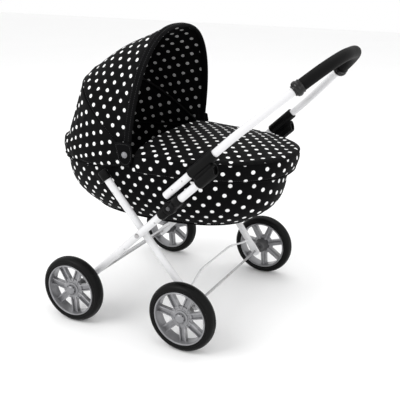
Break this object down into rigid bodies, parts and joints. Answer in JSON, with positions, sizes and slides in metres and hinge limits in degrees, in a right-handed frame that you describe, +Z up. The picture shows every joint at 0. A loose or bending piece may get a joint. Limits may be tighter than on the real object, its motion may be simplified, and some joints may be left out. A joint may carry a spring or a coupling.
{
  "type": "doll pram",
  "caption": "Doll pram with a deep fabric carrycot, folding hood, foot apron, crossed tube frame, spoked wheels and a sliding, folding push handle.",
  "frame": {"origin": "on the floor, under the middle of the bounding box", "axes": "+Z up, +X toward the push handle, -Y to the left of the person pushing"},
  "size_m": [0.5696, 0.4076, 0.5504],
  "materials": {
    "white_coat": "gloss white powder coat",
    "black_plastic": "satin moulded plastic",
    "black_foam": "smooth closed-cell foam",
    "black_rubber": "satin rubber",
    "grey_plastic": "satin metallic grey plastic",
    "steel": "bright zinc",
    "black_fabric": "woven polyester with white dots",
    "lining": "plain woven lining",
    "board": "stiff board"
  },
  "bodies": {
    "chassis": {"push_tube_left": "white_coat", "push_tube_right": "white_coat", "knuckle_base_left": "black_plastic", "knuckle_base_right": "black_plastic", "knuckle_rivet_left": "steel", "knuckle_rivet_right": "steel", "pivot_bolt_left": "steel", "pivot_bolt_right": "steel", "pivot_nut_left": "steel", "pivot_nut_right": "steel", "pivot_washer_left": "black_plastic", "pivot_washer_right": "black_plastic", "cot_support_left": "black_plastic", "cot_support_right": "black_plastic", "frame_rest_left": "black_plastic", "frame_rest_right": "black_plastic", "hood_bracket_left": "black_plastic", "hood_bracket_right": "black_plastic", "hood_rivet_left": "steel", "hood_rivet_right": "steel", "front_axle": "steel", "front_brace_wire": "white_coat", "carrycot_shell": "black_fabric", "rim_hoop": "black_plastic", "base_board": "board", "mattress": "lining", "apron": "black_fabric", "hood_back_panel": "black_fabric"},
    "rear_frame": {"cross_tube_left": "white_coat", "cross_tube_right": "white_coat", "cross_tube_cap_left": "black_plastic", "cross_tube_cap_right": "black_plastic", "rear_axle": "steel", "rear_brace_wire": "white_coat"},
    "handle_frame": {"knuckle_lever_left": "black_plastic", "knuckle_lever_right": "black_plastic", "upper_tube_left": "white_coat", "upper_tube_right": "white_coat", "handle_clamp_left": "black_plastic", "handle_clamp_right": "black_plastic"},
    "handle": {"handle_tube": "white_coat", "foam_grip": "black_foam", "grip_collar_left": "black_plastic", "grip_collar_right": "black_plastic"},
    "hood_rear": {"hood_rear_bow": "black_plastic", "hood_middle_panel": "black_fabric"},
    "hood_front": {"hood_front_bow": "black_plastic", "hood_front_panel": "black_fabric"},
    "wheel_front_left": {"tyre_front_left": "black_rubber", "wheel_disc_front_left": "grey_plastic", "hub_cap_front_left": "grey_plastic"},
    "wheel_front_right": {"tyre_front_right": "black_rubber", "wheel_disc_front_right": "grey_plastic", "hub_cap_front_right": "grey_plastic"},
    "wheel_rear_left": {"tyre_rear_left": "black_rubber", "wheel_disc_rear_left": "grey_plastic", "hub_cap_rear_left": "grey_plastic"},
    "wheel_rear_right": {"tyre_rear_right": "black_rubber", "wheel_disc_rear_right": "grey_plastic", "hub_cap_rear_right": "grey_plastic"}
  },
  "joints": [
    {"name": "frame_fold", "type": "hinge", "parent": "chassis", "child": "rear_frame", "pos_m": [-0.03827, 0, 0.19501], "axis": [0, 1, 0], "range_deg": [0, 38]},
    {"name": "handle_fold", "type": "hinge", "parent": "chassis", "child": "handle_frame", "pos_m": [0.03266, 0, 0.262], "axis": [0, 1, 0], "range_deg": [0, 80]},
    {"name": "handle_slide", "type": "slide", "parent": "handle_frame", "child": "handle", "axis": [0.727, 0, 0.6866], "range_m": [0, 0.06]},
    {"name": "hood_fold", "type": "hinge", "parent": "chassis", "child": "hood_rear", "pos_m": [-0.07604, 0, 0.334], "axis": [0, -1, 0], "range_deg": [0, 34]},
    {"name": "hood_front_fold", "type": "hinge", "parent": "hood_rear", "child": "hood_front", "pos_m": [-0.07604, 0, 0.334], "axis": [0, -1, 0], "range_deg": [0, 34]},
    {"name": "wheel_front_left_spin", "type": "hinge", "parent": "chassis", "child": "wheel_front_left", "pos_m": [-0.17594, -0.18933, 0.065], "axis": [0, 1, 0], "continuous": true},
    {"name": "wheel_front_right_spin", "type": "hinge", "parent": "chassis", "child": "wheel_front_right", "pos_m": [-0.17594, 0.18933, 0.065], "axis": [0, 1, 0], "continuous": true},
    {"name": "wheel_rear_left_spin", "type": "hinge", "parent": "rear_frame", "child": "wheel_rear_left", "pos_m": [0.06127, -0.18933, 0.065], "axis": [0, 1, 0], "continuous": true},
    {"name": "wheel_rear_right_spin", "type": "hinge", "parent": "rear_frame", "child": "wheel_rear_right", "pos_m": [0.06127, 0.18933, 0.065], "axis": [0, 1, 0], "continuous": true}
  ],
  "couplings": [
    {"joint": "hood_front_fold", "follows": "hood_fold", "ratio": 1}
  ]
}
